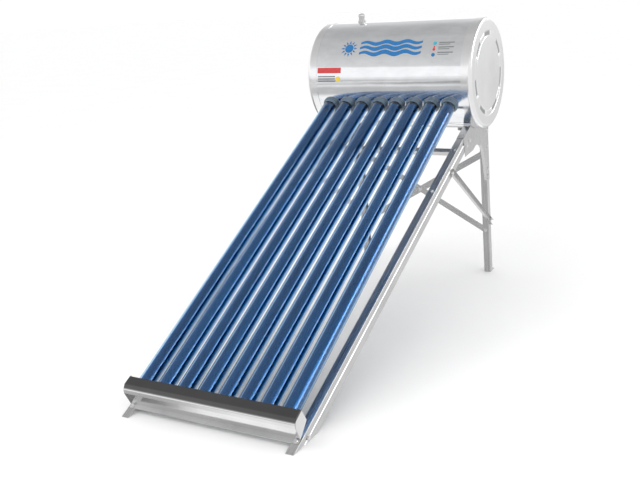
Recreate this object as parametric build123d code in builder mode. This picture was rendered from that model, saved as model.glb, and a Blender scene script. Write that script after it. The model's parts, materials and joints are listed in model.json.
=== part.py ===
from build123d import *
import os
from math import atan2, cos, degrees, radians, sin, sqrt, tan

# Compact solar water heater: a horizontal insulated tank carried on a bolted stainless frame,
# fed by a row of evacuated glass tubes that slope down to a tail tray.
# Millimetres. X runs along the tank, the tubes' low end points towards -Y, +Z is up, and the
# origin is the middle of the base on the floor.

os.makedirs("parts", exist_ok=True)

# ---- Driving sizes ---------------------------------------------------------------------------

# Evacuated tubes
tube_count = 8
tube_pitch = 80.0
tube_diameter = 58.0
tube_length = 1800.0
tube_tilt = 27.8              # degrees below the horizontal
glass_wall = 1.6
absorber_diameter = 47.0
absorber_tip_gap = 16.0       # vacuum between the two glass tips
rim_depth = 2.0               # fused ring that joins the two glasses at the open end
rim_gap = 0.1
clip_band = 0.8
clip_length = 12.0
clip_setback = 34.0           # clip distance above the tube's tip
clip_pad_width = 6.0
tube_insertion = 85.0         # how far a tube reaches into the inner tank
tube_travel_gap = 0.3         # radial room a sliding tube has in its rings and cup

# Tank
tank_diameter = 472.0         # over the end caps
tank_sheet = 0.8
cap_sheet = 1.2
cap_depth = 45.0              # visible skirt of an end cap
cap_lap = 12.0                # shell tucked inside a cap
cap_corner = 16.0
cap_ring_depth = 3.0          # pressed ring in the cap's face
cap_ring_outer = 0.77         # shares of the cap's radius
cap_ring_inner = 0.66
cap_ring_bend = 2.0
cap_frame_gap = 2.4           # end cap's seam beyond the gusset's face
inner_tank_diameter = 360.0
inner_tank_wall = 1.2
inner_tank_knuckle = 16.0
end_insulation = 46.0
foam_gap = 0.3
foam_room = 1.0               # foam cut back round seals and stud heads
foam_corner = 15.0

# Rings that seal the tubes
seal_lip = 3.3
seal_wall = 3.4
seal_lip_thickness = 4.5
seal_stand_off = 1.5          # outer lip above the inner tank's wall
seal_lip_room = 2.0
dust_ring_radius = 36.0
dust_ring_height = 8.0
dust_lip_height = 20.0
dust_lip_wall = 3.0
dust_ring_chamfer = 2.0
dust_lip_taper = 1.0

# Ports
port_radius = 13.2            # three-quarter inch pipe thread, outside
port_bore = 9.5
port_shank = 12.6             # the same pipe above its thread
port_reach = 32.0             # pipe standing out below the shell
port_x = 230.0
port_y = 60.0                 # behind the tank's axis
port_nut_across = 34.0
port_nut_height = 8.0
port_clearance = 0.4
port_weld_reach = 4.0         # pipe standing inside the inner tank
vent_weld_reach = 6.0
thread_chamfer = 1.0
anode_radius = 10.0
anode_length = 250.0
anode_tip = 3.0
vent_x = -213.0
vent_bore = 8.0
vent_stub = 26.0              # top of the stub above the shell
vent_nut_across = 32.0
vent_cap_radius = 15.0
vent_cap_height = 13.0
vent_cap_dome = 5.2
vent_stem_radius = 7.5
vent_stem_length = 18.0
vent_stem_chamfer = 1.0
vent_seat_gap = 0.2

# Frame
sheet = 1.5
lap = 0.1                     # air between bolted sheets
bend = 1.4                    # bend radius at the middle of a sheet
frame_side_gap = 24.0         # outermost tube to the frame's outer face
rail_flange = 30.0
rail_height = 64.0
rail_lip = 11.0
rail_top_y = -120.0           # rail's upper end, from the tank's axis
rail_tank_gap = 18.0          # rail flange below the tank there
bead_depth = 2.0
bead_start = 18.0
bead_width = 13.0
bead_slope = 3.0
leg_depth = 32.0
leg_flange = 30.0
leg_lean = 5.3                # degrees forward going up
leg_top_y = 112.0             # leg's middle under the tank, from the tank's axis
leg_top_lap = 3.0             # leg's end above the tank's underside
saddle_start = -110.0
saddle_end = 136.0
saddle_width = 31.6
saddle_gap = 0.3              # shell to saddle
gusset_arch = ((-73.0, 87.0), (-15.0, 70.0), (72.0, 128.0))  # behind the axis, below the tank
gusset_toe = (-176.0, 99.0)
gusset_front_setback = 82.0
gusset_rear_drop = 30.0
gusset_rear_step = 24.0
gusset_arm_drop = 262.0
gusset_arm_inset = 1.0
arch_flange = 14.0
arch_flange_step = 3.0        # flange in front of the leg at the arm's end
brace_width = 25.0
brace_depth = 12.0
brace_overrun = 16.0
brace_setback = 264.0         # brace's bolt along the rail from its upper end
brace_leg_rise = 254.0        # its bolt on the leg above the floor
strip_width = 28.0
strip_rise = 213.1            # strips' low ends above the floor
strip_drop = 136.3            # strips' high ends below the tank
strip_inset = 2.0
crossbar_width = 25.0
crossbar_height = 20.0
crossbar_setback = 165.0      # along the rail from its upper end
crossbar_end_gap = 1.0
spare_bolt_setback = 450.0
rail_gusset_setbacks = (24.0, 66.0)
leg_gusset_drops = (34.0, 110.0, 207.0, 243.0)
web_bolt_inset = 17.0         # web bolts above the rail's lower edge

# Tail tray
tray_floor_gap = 23.5         # tray's lowest corner above the floor
tray_headroom = 1.1           # between the cups and the tray's top
tray_drop = 16.6              # tray's front below the cups
tray_depth = 55.0             # along the tubes
tray_slant = 21.0             # bevel between the tray's top and its front
tray_slant_drop = 24.0
tray_hem = 16.0
tray_overhang = 3.0           # frame's outer face beyond the tray's end
tray_lip_drop = 1.0
tray_shoulder = (5.25, 10.5)  # behind the tray's front, below its top
tray_bends = (3.0, 6.0, 3.0)
tray_end_back = 4.0           # end plate's outline behind the tray's back edge
tray_end_heel = (6.0, 23.0)
tray_end_shoulder_room = (3.0, 2.0)
tray_end_room = 2.0
cup_floor = 6.4
cup_wall = 2.1
cup_length = 34.0
cup_foot = 0.2                # shares of the cup's radius
cup_base = 0.64
cup_shoulder = 0.65           # share of the tube's radius

# Feet and fasteners
foot_sheet = 3.0
foot_width = 28.0
foot_height = 38.0
foot_reach = 28.0
foot_bolt_rise = 26.6
front_foot_back = 92.0        # front foot behind the rail's tip
front_foot_height = 24.0
front_foot_bolt_rise = 15.0
front_foot_length = 40.0
anchor_hole_radius = 5.0
anchor_inset = 23.0           # anchor holes inside the frame's outer face
bolt_radius = 4.0
bolt_hole_radius = 4.5
bolt_across = 13.0
bolt_head = 5.3
nut_height = 6.5
nut_clearance = 0.05
bolt_tail = 3.0
hexagon_corner = 0.6          # room for half a hexagon's corners, a share of its width
stud_head_radius = 9.0
stud_head_height = 3.0
stud_inset = 12.0             # stud head inside the shell
stud_tail = 14.0
stud_offsets = (-70.0, 55.0)  # studs from the tank's axis

# ---- Places worked out from them -------------------------------------------------------------

tilt = radians(tube_tilt)
tube_radius = tube_diameter / 2
absorber_radius = absorber_diameter / 2
tube_xs = [(i - (tube_count - 1) / 2) * tube_pitch for i in range(tube_count)]
tube_top = inner_tank_diameter / 2 - tube_insertion
tube_bottom = tube_top + tube_length
bore_radius = tube_radius + tube_travel_gap

frame_x = tube_xs[-1] + tube_radius + frame_side_gap
web_x = frame_x - sheet
flange_x = frame_x - rail_flange
plate_x = frame_x + lap
plate_face_x = plate_x + sheet

tank_radius = tank_diameter / 2
shell_radius = tank_radius - cap_sheet
seam_x = plate_face_x + cap_frame_gap
shell_half = seam_x + cap_lap
tank_half = seam_x + cap_depth
inner_radius = inner_tank_diameter / 2
inner_half = tank_half - end_insulation
saddle_radius = shell_radius + saddle_gap

anchor_x = frame_x - anchor_inset

cup_radius = bore_radius + cup_wall
tray_above = cup_radius + tray_headroom + sheet
tray_below = cup_radius + tray_drop
tray_front = tube_bottom + cup_floor + sheet
corner_dy = -tray_front * cos(tilt) + tray_below * sin(tilt)
corner_dz = -tray_front * sin(tilt) - (tray_below + lap) * cos(tilt)
tank_z = tray_floor_gap - corner_dz
rail_top_dz = -sqrt(shell_radius**2 - rail_top_y**2) - rail_tank_gap
slope = atan2(rail_top_dz - corner_dz, rail_top_y - corner_dy)
tip_dy = corner_dy - tray_floor_gap / tan(slope)
tank_y = (-tip_dy - tank_radius) / 2
tip_y = tip_dy + tank_y
rail_end_y = rail_top_y + tank_y
rail_length = (rail_end_y - tip_y) / cos(slope)
lean = radians(leg_lean)
leg_reference_z = tank_z - tank_radius
leg_top_z = leg_reference_z + leg_top_lap


def tube_plane(x):
    """Lengthwise plane of the tube at x: local x is up off the tubes, local y runs down them."""
    return Plane(origin=(x, tank_y, tank_z), x_dir=(0, -sin(tilt), cos(tilt)), z_dir=(1, 0, 0))


def tube_axis(x):
    return Axis((x, tank_y, tank_z), (0, -cos(tilt), -sin(tilt)))


def across_tube(x, s):
    """Plane square to the tube at x, a distance s down it from the tank's axis."""
    origin = (x, tank_y - s * cos(tilt), tank_z - s * sin(tilt))
    return Plane(origin=origin, x_dir=(1, 0, 0), z_dir=(0, -cos(tilt), -sin(tilt)))


def rail_point(a, w):
    """(y, z) of the point a along the rail from its tip and w below its top face."""
    y = tip_y + a * cos(slope) + w * sin(slope)
    return y, a * sin(slope) - w * cos(slope)


def leg_point(z, v):
    """(y, z) at height z, v behind the leg's middle line."""
    return tank_y + leg_top_y + (leg_reference_z - z) * tan(lean) + v / cos(lean), z


def under_tank(dy, radius):
    """Height of a circle about the tank's axis at dy from it, on the underside."""
    return tank_z - sqrt(radius**2 - dy**2)


def tank_ring_face(x0, x1, inner, outer):
    """Lengthwise half section of a ring about the tank's axis."""
    with Locations(((x0 + x1) / 2, (inner + outer) / 2)):
        Rectangle(x1 - x0, outer - inner)


tank_axis = Axis((0, tank_y, tank_z), (1, 0, 0))
tank_plane = Plane(origin=(0, tank_y, tank_z), x_dir=(1, 0, 0), z_dir=(0, -1, 0))


def bore_tubes(radius):
    """Cut the tubes' passages through the front of whatever is being built."""
    for x in tube_xs:
        with BuildSketch(across_tube(x, 0)) as passage:
            Circle(radius)
        extrude(passage.sketch, amount=tank_radius + dust_lip_height, mode=Mode.SUBTRACT)


def bore_vertical(x, dy, radius, down=True):
    """Cut a vertical passage from the tank's axis out through its wall."""
    start = Plane(origin=(x, tank_y + dy, tank_z), z_dir=(0, 0, -1 if down else 1))
    with BuildSketch(start) as passage:
        Circle(radius)
    extrude(passage.sketch, amount=tank_radius + port_reach, mode=Mode.SUBTRACT)


def hexagon(across):
    RegularPolygon(radius=across / 2, side_count=6, major_radius=False)


def save(builder, name):
    builder.part.label = name
    export_step(builder.part, f"parts/{name}.step")


def save_mirrored(builder, name):
    with BuildPart() as other:
        mirror(builder.part, about=Plane.YZ)
    save(other, name)


# ---- Tank ------------------------------------------------------------------------------------

stud_x = frame_x - rail_flange / 2
stud_places = [(side * stud_x, dy) for side in (-1, 1) for dy in stud_offsets]
port_places = [(-port_x, port_y), (port_x, port_y)]
port_hole = port_radius + port_clearance

with BuildPart() as tank_shell:
    with BuildSketch(tank_plane):
        tank_ring_face(-shell_half, shell_half, shell_radius - tank_sheet, shell_radius)
    revolve(axis=tank_axis)
    bore_tubes(bore_radius + seal_wall + port_clearance)
    bore_vertical(vent_x, 0, port_hole, down=False)
    for x, dy in port_places + [(0, port_y)]:
        bore_vertical(x, dy, port_hole)
    for x, dy in stud_places:
        bore_vertical(x, dy, bolt_hole_radius)
save(tank_shell, "tank_shell")

with BuildPart() as end_cap:
    middle = tank_radius - cap_sheet / 2
    face_x = tank_half - cap_sheet / 2
    outer_ring = cap_ring_outer * tank_radius
    inner_ring = cap_ring_inner * tank_radius
    with BuildSketch(tank_plane):
        with BuildLine():
            FilletPolyline(
                (seam_x, middle),
                (face_x, middle),
                (face_x, outer_ring),
                (face_x - cap_ring_depth, outer_ring - cap_ring_depth),
                (face_x - cap_ring_depth, inner_ring + cap_ring_depth),
                (face_x, inner_ring),
                (face_x, 0),
                radius=[cap_corner] + [cap_ring_bend] * 4,
            )
        trace(line_width=cap_sheet)
    revolve(axis=tank_axis)
save(end_cap, "end_cap_right")
save_mirrored(end_cap, "end_cap_left")

with BuildPart() as inner_tank:
    with BuildSketch(tank_plane) as vessel:
        tank_ring_face(-inner_half, inner_half, 0, inner_radius)
        fillet(vessel.vertices().group_by(Axis.Y)[-1], radius=inner_tank_knuckle)
    revolve(axis=tank_axis)
    with BuildSketch(tank_plane) as water:
        inside = inner_half - inner_tank_wall
        tank_ring_face(-inside, inside, 0, inner_radius - inner_tank_wall)
        knuckle = inner_tank_knuckle - inner_tank_wall
        fillet(water.vertices().group_by(Axis.Y)[-1], radius=knuckle)
    revolve(axis=tank_axis, mode=Mode.SUBTRACT)
    bore_tubes(bore_radius + seal_wall + port_clearance)
    bore_vertical(vent_x, 0, port_hole, down=False)
    for x, dy in port_places + [(0, port_y)]:
        bore_vertical(x, dy, port_hole)
save(inner_tank, "inner_tank")

with BuildPart() as insulation_foam:
    foam_half = tank_half - cap_sheet - cap_ring_depth - foam_gap * 2
    with BuildSketch(tank_plane) as foam_section:
        tank_ring_face(-foam_half, foam_half, 0, shell_radius - tank_sheet - foam_gap)
        fillet(foam_section.vertices().group_by(Axis.Y)[-1], radius=foam_corner)
    revolve(axis=tank_axis)
    with BuildSketch(tank_plane):
        inside = inner_half + foam_gap
        tank_ring_face(-inside, inside, 0, inner_radius + foam_gap)
    revolve(axis=tank_axis, mode=Mode.SUBTRACT)
    bore_tubes(bore_radius + seal_wall + seal_lip + foam_room)
    bore_vertical(vent_x, 0, port_hole, down=False)
    for x, dy in port_places + [(0, port_y)]:
        bore_vertical(x, dy, port_hole)
    for x, dy in stud_places:
        with BuildSketch(Plane(origin=(x, tank_y + dy, tank_z - inner_radius), z_dir=(0, 0, -1))):
            Circle(stud_head_radius + foam_room)
        extrude(amount=tank_radius, mode=Mode.SUBTRACT)
save(insulation_foam, "insulation_foam")

# Silicone seals gripped in the inner tank's wall: a neck through the hole, a lip on each side.
with BuildPart() as tube_seals:
    neck = bore_radius + seal_wall
    seat = inner_radius
    outside = seat + seal_stand_off
    drop = sqrt(seat**2 - (neck + seal_lip) ** 2)
    inside = drop - inner_tank_wall - seal_lip_room
    for x in tube_xs:
        with BuildSketch(tube_plane(x)):
            with Locations((bore_radius + seal_wall / 2, (outside + inside) / 2)):
                Rectangle(seal_wall, outside - inside + 2 * seal_lip_thickness)
            for s in (outside + seal_lip_thickness / 2, inside - seal_lip_thickness / 2):
                with Locations((bore_radius + (seal_wall + seal_lip) / 2, s)):
                    Rectangle(seal_wall + seal_lip, seal_lip_thickness)
        revolve(axis=tube_axis(x))
save(tube_seals, "tube_seals")

# Rubber dust rings saddled on the shell, each with a soft lip that wipes its tube.
with BuildPart() as dust_rings:
    neck = bore_radius + dust_lip_wall
    for x in tube_xs:
        with BuildSketch(tube_plane(x)):
            with BuildLine():
                Polyline(
                    (0, shell_radius - dust_ring_height * 2),
                    (dust_ring_radius, shell_radius - dust_ring_height * 2),
                    (dust_ring_radius, shell_radius + dust_ring_height - dust_ring_chamfer),
                    (dust_ring_radius - dust_ring_chamfer, shell_radius + dust_ring_height),
                    (neck + dust_lip_taper, shell_radius + dust_ring_height),
                    (neck - dust_lip_taper, shell_radius + dust_lip_height),
                    (0, shell_radius + dust_lip_height),
                    close=True,
                )
            make_face()
        revolve(axis=tube_axis(x))
    with BuildSketch(Plane.YZ.offset(-tank_half)):
        with Locations((tank_y, tank_z)):
            Circle(shell_radius + lap)
    extrude(amount=2 * tank_half, mode=Mode.SUBTRACT)
    for x in tube_xs:
        with BuildSketch(across_tube(x, shell_radius - dust_ring_height)):
            Circle(neck)
        extrude(amount=dust_ring_height * 1.5)
    bore_tubes(bore_radius)
save(dust_rings, "dust_rings")

# ---- Ports, vent and anode -------------------------------------------------------------------

port_top_z = under_tank(port_y, inner_radius) + port_weld_reach
port_end_z = under_tank(port_y, shell_radius) - port_reach
port_nut_edge = port_y - port_nut_across * hexagon_corner
port_nut_z = under_tank(port_nut_edge, shell_radius) - port_nut_height - lap


def make_port(x):
    """Threaded pipe stub, welded into the inner tank and led down through the shell."""
    with BuildPart() as port:
        with BuildSketch(Plane.XY.offset(port_end_z)):
            with Locations((x, tank_y + port_y)):
                Circle(port_radius)
        extrude(amount=port_nut_z - port_end_z)
        with BuildSketch(Plane.XY.offset(port_nut_z)):
            with Locations((x, tank_y + port_y)):
                hexagon(port_nut_across)
        extrude(amount=port_nut_height)
        with BuildSketch(Plane.XY.offset(port_nut_z)):
            with Locations((x, tank_y + port_y)):
                Circle(port_shank)
        extrude(amount=port_top_z - port_nut_z)
        chamfer(port.faces().sort_by(Axis.Z)[0].edges(), length=thread_chamfer)
        with BuildSketch(Plane.XY.offset(port_end_z)):
            with Locations((x, tank_y + port_y)):
                Circle(port_bore)
        extrude(amount=port_top_z - port_end_z, mode=Mode.SUBTRACT)
    return port


save(make_port(port_x), "cold_inlet_nipple")
save(make_port(-port_x), "hot_outlet_nipple")

with BuildPart() as anode_plug:
    with BuildSketch(Plane.XY.offset(port_nut_z)):
        with Locations((0, tank_y + port_y)):
            hexagon(port_nut_across)
    extrude(amount=port_nut_height)
    chamfer(anode_plug.faces().sort_by(Axis.Z)[0].edges(), length=thread_chamfer)
    with BuildSketch(Plane.XY.offset(port_nut_z)):
        with Locations((0, tank_y + port_y)):
            Circle(port_radius)
    extrude(amount=port_top_z - port_nut_z)
save(anode_plug, "anode_plug")

with BuildPart() as anode_rod:
    with BuildSketch(Plane.XY.offset(port_top_z)):
        with Locations((0, tank_y + port_y)):
            Circle(anode_radius)
    extrude(amount=anode_length)
    fillet(anode_rod.faces().sort_by(Axis.Z)[-1].edges(), radius=anode_tip)
save(anode_rod, "anode_rod")

vent_base_z = tank_z + sqrt(inner_radius**2 - port_radius**2) - vent_weld_reach
vent_nut_z = tank_z + shell_radius + lap
vent_top_z = tank_z + shell_radius + vent_stub

with BuildPart() as vent_nipple:
    with BuildSketch(Plane.XY.offset(vent_base_z)):
        with Locations((vent_x, tank_y)):
            Circle(port_radius)
    extrude(amount=vent_top_z - vent_base_z)
    chamfer(vent_nipple.faces().sort_by(Axis.Z)[-1].edges(), length=thread_chamfer)
    with BuildSketch(Plane.XY.offset(vent_nut_z)):
        with Locations((vent_x, tank_y)):
            hexagon(vent_nut_across)
    extrude(amount=port_nut_height)
    with BuildSketch(Plane.XY.offset(vent_base_z)):
        with Locations((vent_x, tank_y)):
            Circle(vent_bore)
    extrude(amount=vent_top_z - vent_base_z, mode=Mode.SUBTRACT)
save(vent_nipple, "vent_nipple")

# Breather cap: a loose mushroom that steam lifts off its seat.
with BuildPart() as vent_cap:
    cap_z = vent_top_z + vent_seat_gap
    skirt_z = cap_z + vent_cap_height - vent_cap_dome
    dome_radius = (vent_cap_radius**2 + vent_cap_dome**2) / (2 * vent_cap_dome)
    with BuildSketch(Plane(origin=(vent_x, tank_y, 0), x_dir=(1, 0, 0), z_dir=(0, -1, 0))):
        with BuildLine():
            Polyline(
                (0, cap_z - vent_stem_length),
                (vent_stem_radius - vent_stem_chamfer, cap_z - vent_stem_length),
                (vent_stem_radius, cap_z - vent_stem_length + vent_stem_chamfer),
                (vent_stem_radius, cap_z),
                (vent_cap_radius, cap_z),
                (vent_cap_radius, skirt_z),
            )
            Line((0, cap_z - vent_stem_length), (0, cap_z + vent_cap_height))
            RadiusArc(
                (vent_cap_radius, skirt_z),
                (0, cap_z + vent_cap_height),
                radius=-dome_radius,
            )
        make_face()
    revolve(axis=Axis((vent_x, tank_y, 0), (0, 0, 1)))
save(vent_cap, "vent_cap")

# ---- Evacuated tubes -------------------------------------------------------------------------


def glass_profile(radius, wall, top, tip):
    """Half section of a glass tube with a round closed tip."""
    centre = tip - radius
    inner = radius - wall
    diagonal = sqrt(0.5)
    with BuildLine() as outline:
        Line((radius, top), (radius, centre))
        ThreePointArc(
            (radius, centre), (radius * diagonal, centre + radius * diagonal), (0, centre + radius)
        )
        Line((0, centre + radius), (0, centre + inner))
        ThreePointArc(
            (0, centre + inner), (inner * diagonal, centre + inner * diagonal), (inner, centre)
        )
        Line((inner, centre), (inner, top))
        Line((inner, top), (radius, top))
    make_face(outline.edges())


absorber_tip = tube_bottom - glass_wall - absorber_tip_gap
clip_s = tube_bottom - clip_setback

for number, x in enumerate(tube_xs, start=1):
    with BuildPart() as outer_glass:
        with BuildSketch(tube_plane(x)):
            glass_profile(tube_radius, glass_wall, tube_top, tube_bottom)
            rim_inner = absorber_radius + rim_gap
            with Locations(((rim_inner + tube_radius) / 2, tube_top + rim_depth / 2)):
                Rectangle(tube_radius - rim_inner, rim_depth)
        revolve(axis=tube_axis(x))
    save(outer_glass, f"tube_{number}_outer_glass")

    with BuildPart() as absorber:
        with BuildSketch(tube_plane(x)):
            glass_profile(absorber_radius, glass_wall, tube_top, absorber_tip)
        revolve(axis=tube_axis(x))
    save(absorber, f"tube_{number}_absorber")

    # Spring clip that centres the absorber's tip inside the outer glass.
    with BuildPart() as clip:
        band_radius = absorber_radius + rim_gap
        with BuildSketch(across_tube(x, clip_s - clip_length)):
            Circle(band_radius + clip_band)
            pad_reach = tube_radius - glass_wall - rim_gap * 2
            with PolarLocations((band_radius + pad_reach) / 2, 3, start_angle=90):
                Rectangle(pad_reach - band_radius, clip_pad_width)
            Circle(band_radius, mode=Mode.SUBTRACT)
        extrude(amount=clip_length)
    save(clip, f"tube_{number}_clip")

# ---- Tail tray -------------------------------------------------------------------------------

tray_half = frame_x - tray_overhang
tray_back = tray_front - tray_depth
difference = tilt - slope
hem_tip = (
    tray_front + tray_hem * cos(difference),
    -tray_below + sheet / 2 + tray_hem * sin(difference),
)
tray_top = tray_above - sheet / 2
tray_face = tray_front - sheet / 2


def tray_section(x):
    """Plane across the tray: local x runs down the tubes, local y rises off them."""
    return Plane(
        origin=(x, tank_y, tank_z), x_dir=(0, -cos(tilt), -sin(tilt)), z_dir=(-1, 0, 0)
    )


def flange_plane(a, x, above=0):
    """Plane on the rails' top face at distance a from the tip, facing up off it."""
    y, z = rail_point(a, -above)
    return Plane(origin=(x, y, z), x_dir=(1, 0, 0), z_dir=(0, -sin(slope), cos(slope)))


tray_corner_a = tray_floor_gap / sin(slope)
tray_bolt_a = tray_corner_a - tray_hem / 2

with BuildPart() as tail_tray:
    with BuildSketch(tray_section(tray_half)):
        with BuildLine():
            FilletPolyline(
                (tray_back, tray_top - tray_lip_drop),
                (tray_face - tray_slant, tray_top),
                (tray_face - tray_shoulder[0], tray_top - tray_shoulder[1]),
                (tray_face, tray_top - tray_slant_drop),
                (tray_face, -tray_below + sheet / 2),
                hem_tip,
                radius=[*tray_bends, bend],
            )
        trace(line_width=sheet)
    extrude(amount=2 * tray_half)
    for side in (-1, 1):
        with BuildSketch(flange_plane(tray_bolt_a, side * stud_x)):
            Circle(bolt_hole_radius)
        extrude(amount=2 * sheet, both=True, mode=Mode.SUBTRACT)
save(tail_tray, "tail_tray")

end_shoulder_s = tray_face - tray_shoulder[0] - tray_end_shoulder_room[0]
end_shoulder_h = tray_top - tray_shoulder[1] - tray_end_shoulder_room[1]

with BuildPart() as tray_end:
    with BuildSketch(tray_section(tray_half)):
        with BuildLine():
            Polyline(
                (tray_back - tray_end_back, tray_top - tray_lip_drop - sheet),
                (tray_face - tray_slant - tray_end_room, tray_top - sheet),
                (end_shoulder_s, end_shoulder_h),
                (tray_face - sheet, tray_top - tray_slant_drop - tray_end_room),
                (tray_face - sheet, -tray_below + 2 * sheet),
                (tray_back - tray_end_heel[0], -tray_below + tray_end_heel[1]),
                close=True,
            )
        make_face()
    extrude(amount=sheet)
save(tray_end, "tray_end_right")
save_mirrored(tray_end, "tray_end_left")

# Soft cups in the tray that the tubes' tips stand in.
with BuildPart() as tube_cups:
    base_s = tray_front - sheet
    cup_mouth = tube_bottom - cup_length
    shoulder = tube_bottom - tube_radius * cup_shoulder
    for x in tube_xs:
        with BuildSketch(tube_plane(x)):
            with BuildLine():
                Polyline(
                    (0, base_s),
                    (cup_radius * cup_foot, base_s),
                    (cup_radius * cup_base, base_s - cup_floor),
                    (cup_radius, shoulder),
                    (cup_radius, cup_mouth),
                    (bore_radius, cup_mouth),
                    (bore_radius, tube_bottom - tube_radius),
                )
                Line((0, base_s), (0, tube_bottom + tube_travel_gap))
                ThreePointArc(
                    (bore_radius, tube_bottom - tube_radius),
                    (
                        bore_radius * sqrt(0.5),
                        tube_bottom - tube_radius + bore_radius * sqrt(0.5),
                    ),
                    (0, tube_bottom - tube_radius + bore_radius),
                )
            make_face()
        revolve(axis=tube_axis(x))
save(tube_cups, "tube_cups")

# ---- Frame: where its bolts go ---------------------------------------------------------------

web_bolt_w = rail_height - web_bolt_inset
brace_bolt = rail_point(rail_length - brace_setback, web_bolt_w)
rail_gusset_bolts = [rail_point(rail_length - back, web_bolt_w) for back in rail_gusset_setbacks]
leg_gusset_bolts = [leg_point(leg_reference_z - drop, 0) for drop in leg_gusset_drops]
brace_leg_bolt = leg_point(brace_leg_rise, 0)
front_foot_y = tip_y + front_foot_back
front_foot_bolt = (front_foot_y, front_foot_bolt_rise)
strip_heights = (strip_rise, leg_reference_z - strip_drop)
strip_x = flange_x + rail_flange / 2 - strip_inset
crossbar_a = rail_length - crossbar_setback
spare_bolt_a = rail_length - spare_bolt_setback
flange_bolts = (tray_bolt_a, crossbar_a, spare_bolt_a)


def side_holes(places, radius=bolt_hole_radius):
    """Holes along X through the right-hand side's sheets."""
    for place in places:
        with BuildSketch(Plane.YZ.offset(flange_x)) as hole:
            with Locations(place):
                Circle(radius)
        extrude(hole.sketch, amount=2 * rail_flange, mode=Mode.SUBTRACT)


def leg_plane(x, h, v=0):
    """Plane facing forward on the leg, h up its middle line and v behind it."""
    foot_y = leg_point(0, 0)[0]
    origin = (x, foot_y - h * sin(lean) + v * cos(lean), h * cos(lean) + v * sin(lean))
    return Plane(origin=origin, x_dir=(1, 0, 0), z_dir=(0, -cos(lean), -sin(lean)))


def leg_height(z):
    return z / cos(lean)


# ---- Rails -----------------------------------------------------------------------------------

with BuildPart() as rail:
    section = Plane(
        origin=(0, tip_y, 0), x_dir=(1, 0, 0), z_dir=(0, cos(slope), sin(slope))
    ).offset(-rail_height * 2)
    middle = frame_x - sheet / 2
    with BuildSketch(section):
        with BuildLine():
            FilletPolyline(
                (flange_x, sheet / 2),
                (middle, sheet / 2),
                (middle, bead_start),
                (middle - bead_depth, bead_start + bead_slope),
                (middle - bead_depth, bead_start + bead_width - bead_slope),
                (middle, bead_start + bead_width),
                (middle, rail_height - sheet / 2),
                (frame_x - rail_lip, rail_height - sheet / 2),
                radius=bend,
            )
        trace(line_width=sheet)
    extrude(amount=rail_length + rail_height * 4)
    split(bisect_by=Plane.XY, keep=Keep.TOP)
    split(bisect_by=Plane.XZ.offset(-rail_end_y), keep=Keep.TOP)
    side_holes([brace_bolt, front_foot_bolt] + rail_gusset_bolts)
    for a in flange_bolts:
        with BuildSketch(flange_plane(a, stud_x)):
            Circle(bolt_hole_radius)
        extrude(amount=2 * sheet, both=True, mode=Mode.SUBTRACT)
save(rail, "rail_right")
save_mirrored(rail, "rail_left")

# ---- Rear legs -------------------------------------------------------------------------------

with BuildPart() as leg:
    half = leg_depth / 2 - sheet / 2
    foot_y = leg_point(0, 0)[0]
    base = Plane(origin=(0, foot_y, 0), x_dir=(1, 0, 0), z_dir=(0, -sin(lean), cos(lean)))
    with BuildSketch(base.offset(-leg_depth)):
        with BuildLine():
            FilletPolyline(
                (frame_x - leg_flange, -half),
                (frame_x - sheet / 2, -half),
                (frame_x - sheet / 2, half),
                (frame_x - leg_flange, half),
                radius=bend,
            )
        trace(line_width=sheet)
    extrude(amount=leg_height(leg_top_z) + 3 * leg_depth)
    split(bisect_by=Plane.XY, keep=Keep.TOP)
    split(bisect_by=Plane.XY.offset(leg_top_z), keep=Keep.BOTTOM)
    side_holes(leg_gusset_bolts + [brace_leg_bolt])
    for z in strip_heights:
        with BuildSketch(leg_plane(strip_x, leg_height(z))):
            Circle(bolt_hole_radius)
        extrude(amount=leg_depth, mode=Mode.SUBTRACT)
    with BuildSketch(leg_plane(strip_x, foot_bolt_rise)):
        Circle(bolt_hole_radius)
    extrude(amount=-leg_depth, mode=Mode.SUBTRACT)
save(leg, "leg_right")
save_mirrored(leg, "leg_left")

# ---- Gusset plates ---------------------------------------------------------------------------


def arch_point(dy, below):
    """(y, z) on the gusset, dy behind the tank's axis and below the tank's underside."""
    return tank_y + dy, leg_reference_z - below


arch_start, arch_crown, arch_side = [arch_point(*place) for place in gusset_arch]
arm_end_z = leg_reference_z - gusset_arm_drop
arm_front = leg_point(arm_end_z, -leg_depth / 2 + gusset_arm_inset)
arm_flange_end = leg_point(arm_end_z, -leg_depth / 2 - arch_flange_step)
arm_rear = leg_point(arm_end_z, leg_depth / 2)
front_edge_a = rail_length - gusset_front_setback
saddle_front = (tank_y + saddle_start, under_tank(saddle_start, saddle_radius))
saddle_rear = (tank_y + saddle_end, under_tank(saddle_end, saddle_radius))
saddle_low = (tank_y, tank_z - saddle_radius)
flange_top_a = (saddle_front[0] - tip_y) / cos(slope)
face_w = -lap - sheet

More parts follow.
